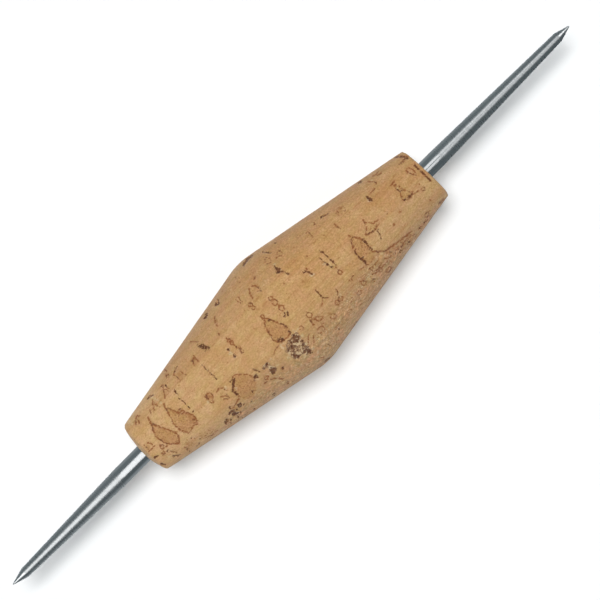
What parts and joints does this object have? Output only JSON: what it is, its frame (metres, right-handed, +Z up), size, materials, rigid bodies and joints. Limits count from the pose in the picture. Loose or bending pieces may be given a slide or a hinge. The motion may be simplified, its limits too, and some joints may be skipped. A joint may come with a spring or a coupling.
{
  "type": "double-ended scriber",
  "caption": "Straight steel rod tapered to a sharp point at both ends, fixed through a natural cork grip shaped as a slim double cone, for scratching lines in clay, wax or metal.",
  "frame": {"origin": "on the tool's axis, midway between the two tips", "axes": "+X along the tool's axis, towards the longer needle; +Z up with the tool lying on its side"},
  "size_m": [0.195, 0.0324, 0.0324],
  "materials": {
    "ground_steel": "bright drawn stock by the cork, with fine grinding marks across both tapers",
    "natural_cork": "sanded natural cork with lenticels, slits and reddish bark veins, unsealed and matt",
    "hardened_glue": "clear amber, hardened"
  },
  "bodies": {
    "root": {"steel_rod": "ground_steel", "cork_grip": "natural_cork", "glue_film": "hardened_glue"}
  },
  "joints": []
}
